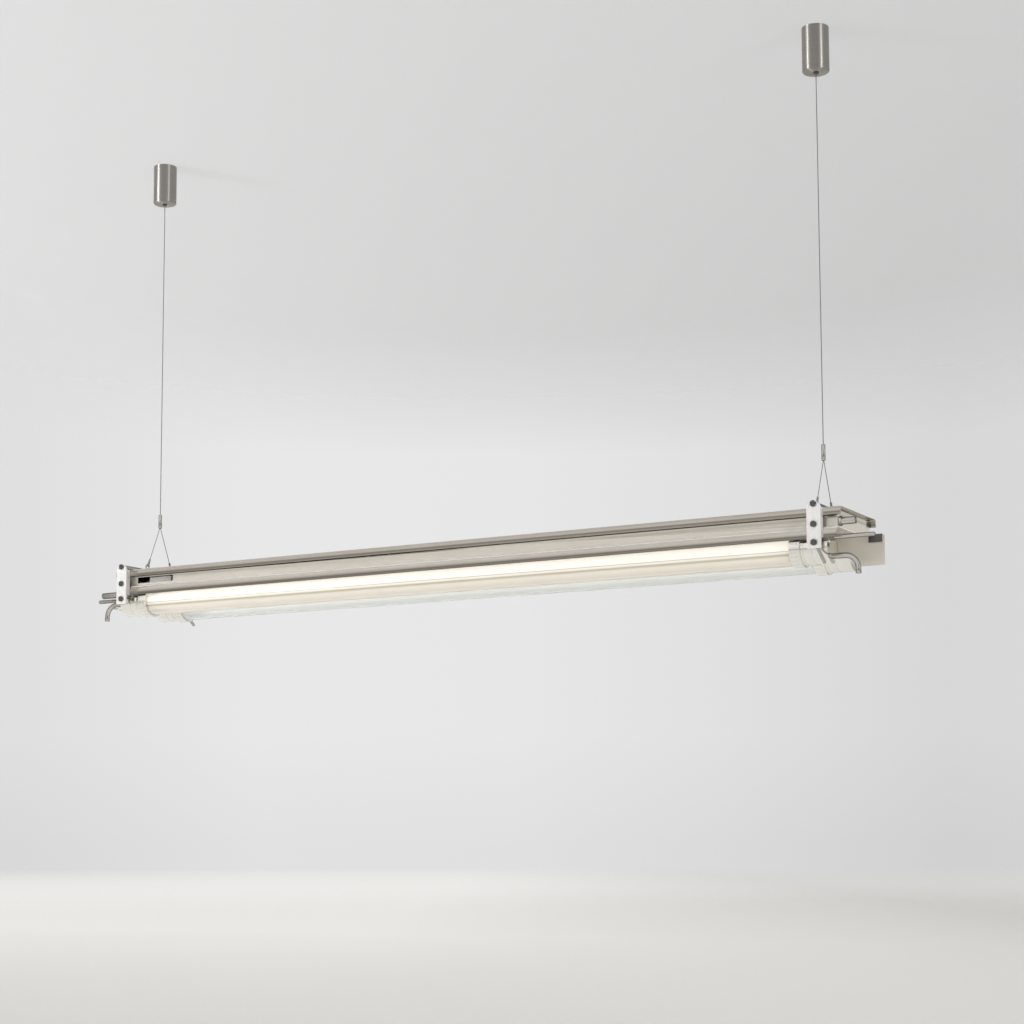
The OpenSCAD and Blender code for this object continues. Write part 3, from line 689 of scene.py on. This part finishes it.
def soften(shape, radius, segments, corner=CORNER):
    """Rounds the sharp edges of a shape"""
    edges = [e for e in shape.edges if len(e.link_faces) == 2 and e.calc_face_angle() > corner]
    bmesh.ops.bevel(
        shape,
        geom=edges,
        offset=radius,
        offset_type="OFFSET",
        segments=segments,
        profile=0.5,
        affect="EDGES",
        clamp_overlap=True,
        material=-1,
    )


def rounded_copy(node, radius=None, segments=2):
    """A copy of a CAD node with rounded edges, by the sheet's radius if none is given"""
    shape = bmesh.new()
    shape.from_mesh(frame["nodes"][node].data)
    bmesh.ops.remove_doubles(shape, verts=shape.verts, dist=MERGE)
    bmesh.ops.dissolve_limit(
        shape, angle_limit=FLAT, use_dissolve_boundaries=False, verts=shape.verts, edges=shape.edges
    )
    soften(shape, radius or sizes().edge_radius, segments)
    add_piece(shape, f"{node}_formed", BODY_OF[node], SLOT_OF[node], [node])


def upright_round(node):
    """Radius, middle of the lower end, and height of a round node that stands upright"""
    low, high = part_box(node)
    return (high[0] - low[0]) / 2, Vector(((low[0] + high[0]) / 2, 0, low[2])), high[2] - low[2]


def turned(profile, centre):
    """Spins a closed outline of (radius, height) points about the upright line through centre"""
    shape = bmesh.new()
    corners = [shape.verts.new(centre + Vector((radius, 0, height))) for radius, height in profile]
    outline = [shape.edges.new((a, b)) for a, b in zip(corners, corners[1:] + corners[:1])]
    bmesh.ops.spin(
        shape,
        geom=corners + outline,
        cent=centre,
        axis=(0, 0, 1),
        angle=math.tau,
        steps=ROUND_STEPS,
        use_merge=True,
    )
    bmesh.ops.remove_doubles(shape, verts=shape.verts, dist=MERGE)
    bmesh.ops.recalc_face_normals(shape, faces=shape.faces)
    return shape


def carry_over(*nodes):
    """Gives the CAD nodes that stay visible their materials"""
    for node in nodes:
        for slot in frame["nodes"][node].material_slots:
            slot.material = finish(SLOT_OF[node])


# ---- operators ----


class StripLightOperator:
    """A step that can be undone; each step brings its own build"""

    bl_options = {"REGISTER", "UNDO"}

    def execute(self, context):
        self.build(context)
        return {"FINISHED"}


class STRIPLIGHT_OT_camera(StripLightOperator, bpy.types.Operator):
    """Places the camera low at the right, looking slightly up across the light"""

    bl_idname = "strip_light.camera"
    bl_label = "Camera"

    def build(self, context):
        data = bpy.data.cameras.new("studio_camera")
        data.lens = sizes().lens
        data.sensor_width = CAMERA_SENSOR
        data.shift_y = CAMERA_SHIFT
        data.clip_end = CAMERA_REACH
        camera = bpy.data.objects.new("studio_camera", data)
        context.collection.objects.link(camera)
        camera.matrix_world = (
            Matrix.Translation(CAMERA_PLACE)
            @ Matrix.Rotation(math.radians(CAMERA_YAW), 4, "Z")
            @ Matrix.Rotation(math.radians(90 + CAMERA_PITCH), 4, "X")
            @ Matrix.Rotation(math.radians(CAMERA_ROLL), 4, "Z")
        )
        context.scene.camera = camera


class STRIPLIGHT_OT_stage(StripLightOperator, bpy.types.Operator):
    """Builds the floor, the ceiling, the world and the studio lights"""

    bl_idname = "strip_light.stage"
    bl_label = "Stage"

    def build(self, context):
        context.scene.view_settings.view_transform = "Standard"
        c = colours()
        floor = self.disc("studio_floor", -sizes().floor_drop, c.floor, **FLOOR)
        self.disc("studio_ceiling", 0.0, c.ceiling, **CEILING)
        self.world()
        off_floor = bpy.data.collections.new("off_floor")
        off_floor.objects.link(floor)
        off_floor.collection_objects[0].light_linking.link_state = "EXCLUDE"
        for row in LOW_SOFTBOXES:
            self.lamp(*row).light_linking.receiver_collection = off_floor
        self.lamp(*TOP_SOFTBOX)
        upright = bpy.data.collections.new(STRIP_RECEIVERS)
        for row in CUP_STRIPS:
            self.lamp(*row).light_linking.receiver_collection = upright

    def disc(self, name, height, base, radius, up, **shading):
        """A round sheet of the stage that faces up or down"""
        shape = bmesh.new()
        bmesh.ops.create_circle(shape, cap_ends=True, segments=ROUND_STEPS, radius=radius)
        bmesh.ops.translate(shape, verts=shape.verts, vec=(0, 0, height))
        if (shape.faces[:][0].normal.z > 0) != up:
            bmesh.ops.reverse_faces(shape, faces=shape.faces)
        mesh = bpy.data.meshes.new(name)
        shape.to_mesh(mesh)
        shape.free()
        mesh.materials.append(self.surface(name, base, up, **shading))
        stage = bpy.data.objects.new(name, mesh)
        bpy.context.collection.objects.link(stage)
        return stage

    def surface(self, name, base, up, fade, falloff, dim):
        """Lit near the object, partly glowing with painted light that falls off across the studio so that it stays
        pale, and clear further out, where the world takes over.

        The ceiling is clear from above, so that a camera up there still sees the light.
        """
        material, tree, shader, place = start_material(name)
        tree.nodes.remove(shader)
        axes = axes_of(tree, place)
        lit = tree.nodes.new("ShaderNodeBsdfDiffuse")
        lit.inputs["Color"].default_value = (*base, 1)
        # Painted light: a glow that falls off across the studio and, on the floor, dims towards the front
        painted_glow = tree.nodes.new("ShaderNodeEmission")
        shade = remap(tree, weighted(tree, (axes["X"], axes["Y"]), ACROSS), falloff, (1.0, 0.0))
        if up:
            shade = maths(tree, "MULTIPLY", shade, remap(tree, axes["Y"], FLOOR_FRONT))
        tree.links.new(colour_mix(tree, shade, [channel * dim for channel in base], base), painted_glow.inputs["Color"])
        seen = self.seen(tree)
        near = mix_shaders(
            tree, maths(tree, "MULTIPLY", seen, EVEN_SHARE), lit.outputs["BSDF"], painted_glow.outputs["Emission"]
        )
        distance = tree.nodes.new("ShaderNodeVectorMath")
        distance.operation = "LENGTH"
        tree.links.new(place, distance.inputs[0])
        far = maths(tree, "MULTIPLY", remap(tree, distance.outputs["Value"], fade), seen)
        if not up:
            far = maths(tree, "MAXIMUM", far, tree.nodes.new("ShaderNodeNewGeometry").outputs["Backfacing"])
        clear = tree.nodes.new("ShaderNodeBsdfTransparent").outputs["BSDF"]
        tree.links.new(mix_shaders(tree, far, near, clear), tree.nodes["Material Output"].inputs["Surface"])
        return material

    def seen(self, tree):
        """1 for rays of the camera and of mirrors and glass, 0 for those that carry light"""
        path = tree.nodes.new("ShaderNodeLightPath")
        seen = maths(tree, "MAXIMUM", path.outputs["Is Camera Ray"], path.outputs["Is Glossy Ray"])
        return maths(tree, "MAXIMUM", seen, path.outputs["Is Transmission Ray"])

    def world(self):
        """Soft pale walls; polished metal finds a dark line at eye level and a dark patch behind the camera"""
        world = bpy.data.worlds.new("studio_world")
        world.use_nodes = True
        tree = world.node_tree
        axes = axes_of(tree, tree.nodes.new("ShaderNodeTexCoord").outputs["Generated"])
        across = remap(tree, weighted(tree, (axes["X"], axes["Y"]), ACROSS), WALL_SPAN)
        walls = [(position, [channel * tone for channel in colours().studio]) for position, tone in WALL_TONES]
        wall = scaled(tree, ramp(tree, across, walls), remap(tree, axes["Z"], WALL_FOOT, WALL_FOOT_LEVELS))
        heights = [(position, [tone * part for part in MIRROR_TINT]) for position, tone in MIRROR_TONES]
        mirrored = ramp(tree, remap(tree, axes["Z"], (-1.0, 1.0)), heights)
        azimuth = maths(tree, "ARCTAN2", axes["X"], maths(tree, "MULTIPLY", axes["Y"], -1.0))
        off = maths(tree, "ABSOLUTE", maths(tree, "SUBTRACT", azimuth, DARK_AZIMUTH))
        shaded = colour_mix(tree, remap(tree, off, DARK_SPREAD), DARK_PATCH, mirrored)
        glossy = tree.nodes.new("ShaderNodeLightPath").outputs["Is Glossy Ray"]
        tree.links.new(colour_mix(tree, glossy, wall, shaded), tree.nodes["Background"].inputs["Color"])
        bpy.context.scene.world = world

    def lamp(self, name, place, target, size, power, mirrored):
        """A rectangular light that looks at its target"""
        data = bpy.data.lights.new(name, "AREA")
        data.shape = "RECTANGLE"
        data.size, data.size_y = size
        data.energy = power
        lamp = bpy.data.objects.new(name, data)
        lamp.visible_glossy = mirrored
        turn = (Vector(target) - Vector(place)).to_track_quat("-Z", "Y")
        lamp.matrix_world = Matrix.Translation(place) @ turn.to_matrix().to_4x4()
        bpy.context.collection.objects.link(lamp)
        return lamp


class STRIPLIGHT_OT_cups(StripLightOperator, bpy.types.Operator):
    """Spins the ceiling cups and dresses their bases and grippers"""

    bl_idname = "strip_light.cups"
    bl_label = "Ceiling cups"

    def build(self, context):
        for side in ("left", "right"):
            node = f"ceiling_cup_{side}"
            radius, centre, height = upright_round(node)
            profile = [
                (CUP_HOLE, 0),
                (radius - CUP_CHAMFER, 0),
                (radius, CUP_CHAMFER),
                (radius, height),
                (radius - CUP_WALL, height),
                (radius - CUP_WALL, CUP_FLOOR),
                (CUP_HOLE, CUP_FLOOR),
            ]
            shape = turned(profile, centre)
            soften(shape, CUP_EDGE, segments=3, corner=CUP_CORNER)
            cup = add_piece(shape, f"{node}_spun", BODY_OF[node], SLOT_OF[node], [node])
            bpy.data.collections[STRIP_RECEIVERS].objects.link(cup)
            rounded_copy(f"ceiling_base_{side}")
            rounded_copy(f"wire_gripper_{side}")


class STRIPLIGHT_OT_wires(StripLightOperator, bpy.types.Operator):
    """Twists the suspension wires and dresses ferrules, bridles and eyes"""

    bl_idname = "strip_light.wires"
    bl_label = "Suspension wires"

    def build(self, context):
        for side in ("left", "right"):
            self.twist(f"cable_{side}")
            rounded_copy(f"ferrule_{side}", FINE_EDGE)
            carry_over(f"bridle_{side}")
        carry_over("bridle_eyes")

    def twist(self, node):
        """A lobed outline spun about its own middle while it climbs makes the laid strands"""
        radius, centre, height = upright_round(node)
        strands = sizes().strand_count
        turns = height / sizes().strand_pitch
        steps = round(turns * TURN_STEPS)
        shape = bmesh.new()
        around = strands * STRAND_POINTS
        made = bmesh.ops.create_circle(shape, segments=around, radius=radius, cap_ends=False)["verts"]
        for point in made:
            angle = math.atan2(point.co.y, point.co.x)
            point.co *= 1 - GROOVE_DEPTH + GROOVE_DEPTH * abs(math.cos(angle * strands / 2))
        bmesh.ops.translate(shape, verts=made, vec=centre)
        bmesh.ops.spin(
            shape,
            geom=shape.verts[:] + shape.edges[:],
            cent=centre,
            axis=(0, 0, 1),
            dvec=(0, 0, height / steps),
            angle=math.tau * turns,
            steps=steps,
            use_merge=False,
        )
        bmesh.ops.remove_doubles(shape, verts=shape.verts, dist=MERGE)
        bmesh.ops.holes_fill(shape, edges=[e for e in shape.edges if e.is_boundary], sides=0)
        bmesh.ops.recalc_face_normals(shape, faces=shape.faces)
        add_piece(shape, f"{node}_laid", BODY_OF[node], SLOT_OF[node], [node], sharp=LAID_SHARP)


class STRIPLIGHT_OT_housing(StripLightOperator, bpy.types.Operator):
    """Rounds the edges of the sheet housing, its straps, screws and tie rods"""

    bl_idname = "strip_light.housing"
    bl_label = "Housing and straps"

    def build(self, context):
        for node in ("top_cover", "housing_tray"):
            rounded_copy(node)
        carry_over("housing_end_left", "housing_end_right", "web_nuts")
        for corner in ("front_left", "front_right", "rear_left", "rear_right"):
            rounded_copy(f"strap_{corner}", STRAP_EDGE, segments=3)
        rounded_copy("strap_screws", SMALL_EDGE)
        rounded_copy("tie_rods", FINE_EDGE)


class STRIPLIGHT_OT_tubes(StripLightOperator, bpy.types.Operator):
    """Dresses glass tubes, lamps, lampholders, end caps and clamp rings"""

    bl_idname = "strip_light.tubes"
    bl_label = "Tubes and lamps"

    def build(self, context):
        for row in ("front", "rear"):
            carry_over(
                f"glass_tube_{row}", f"lamp_{row}", f"lamp_bases_{row}", f"lamp_pins_{row}", f"holder_rotors_{row}"
            )
            for side in ("left", "right"):
                rounded_copy(f"end_cap_{row}_{side}", CAP_EDGE)
                rounded_copy(f"clamp_ring_{row}_{side}", SMALL_EDGE)
        carry_over("tube_seals", "lampholder_bodies", "grommets")


class STRIPLIGHT_OT_end_fittings(StripLightOperator, bpy.types.Operator):
    """Dresses levers, gland, pipes, rods, the right end plate and the left pan"""

    bl_idname = "strip_light.end_fittings"
    bl_label = "End fittings"

    def build(self, context):
        for node in ("lever_front_right", "lever_rear_left", "cable_gland_right", "conduit_stub_left"):
            rounded_copy(node, SMALL_EDGE)
        for node in ("end_plate_right", "end_plate_fixings", "end_pan_left"):
            rounded_copy(node)
        for node in ("spout_left", "spout_right", "earth_rod_left", "earth_rod_right"):
            rounded_copy(node, SMALL_EDGE)


class STRIPLIGHT_OT_inside(StripLightOperator, bpy.types.Operator):
    """Dresses the control gear, terminal blocks and wires inside the housing"""

    bl_idname = "strip_light.inside"
    bl_label = "Inside the housing"

    def build(self, context):
        rounded_copy("control_gear", GEAR_EDGE, segments=3)
        rounded_copy("terminal_block", CAP_EDGE)
        carry_over("terminal_screws", "inner_wires")


OPERATORS = (
    STRIPLIGHT_OT_camera,
    STRIPLIGHT_OT_stage,
    STRIPLIGHT_OT_cups,
    STRIPLIGHT_OT_wires,
    STRIPLIGHT_OT_housing,
    STRIPLIGHT_OT_tubes,
    STRIPLIGHT_OT_end_fittings,
    STRIPLIGHT_OT_inside,
)


class STRIPLIGHT_PT_panel(bpy.types.Panel):
    """Lists the sizes, colours and steps of the strip light"""

    bl_idname = "STRIPLIGHT_PT_panel"
    bl_label = "Strip light"
    bl_space_type = "VIEW_3D"
    bl_region_type = "UI"
    bl_category = "Strip Light"

    def draw(self, context):
        for group in (context.scene.strip_light_sizes, context.scene.strip_light_colours):
            column = self.layout.column(align=True)
            for name in group.__annotations__:
                column.prop(group, name)
        for operator in OPERATORS:
            self.layout.operator(operator.bl_idname)


CLASSES = (LightSizes, LightColours, *OPERATORS, STRIPLIGHT_PT_panel)


def register():
    """Adds the classes, and the sizes and colours of the scene"""
    for cls in CLASSES:
        bpy.utils.register_class(cls)
    bpy.types.Scene.strip_light_sizes = PointerProperty(type=LightSizes)
    bpy.types.Scene.strip_light_colours = PointerProperty(type=LightColours)


def unregister():
    """Takes away what register added"""
    del bpy.types.Scene.strip_light_colours
    del bpy.types.Scene.strip_light_sizes
    for cls in reversed(CLASSES):
        bpy.utils.unregister_class(cls)


def main():
    """Runs every step"""
    register()
    for operator in OPERATORS:
        family, name = operator.bl_idname.split(".")
        getattr(getattr(bpy.ops, family), name)()


if __name__ == "__main__":
    main()
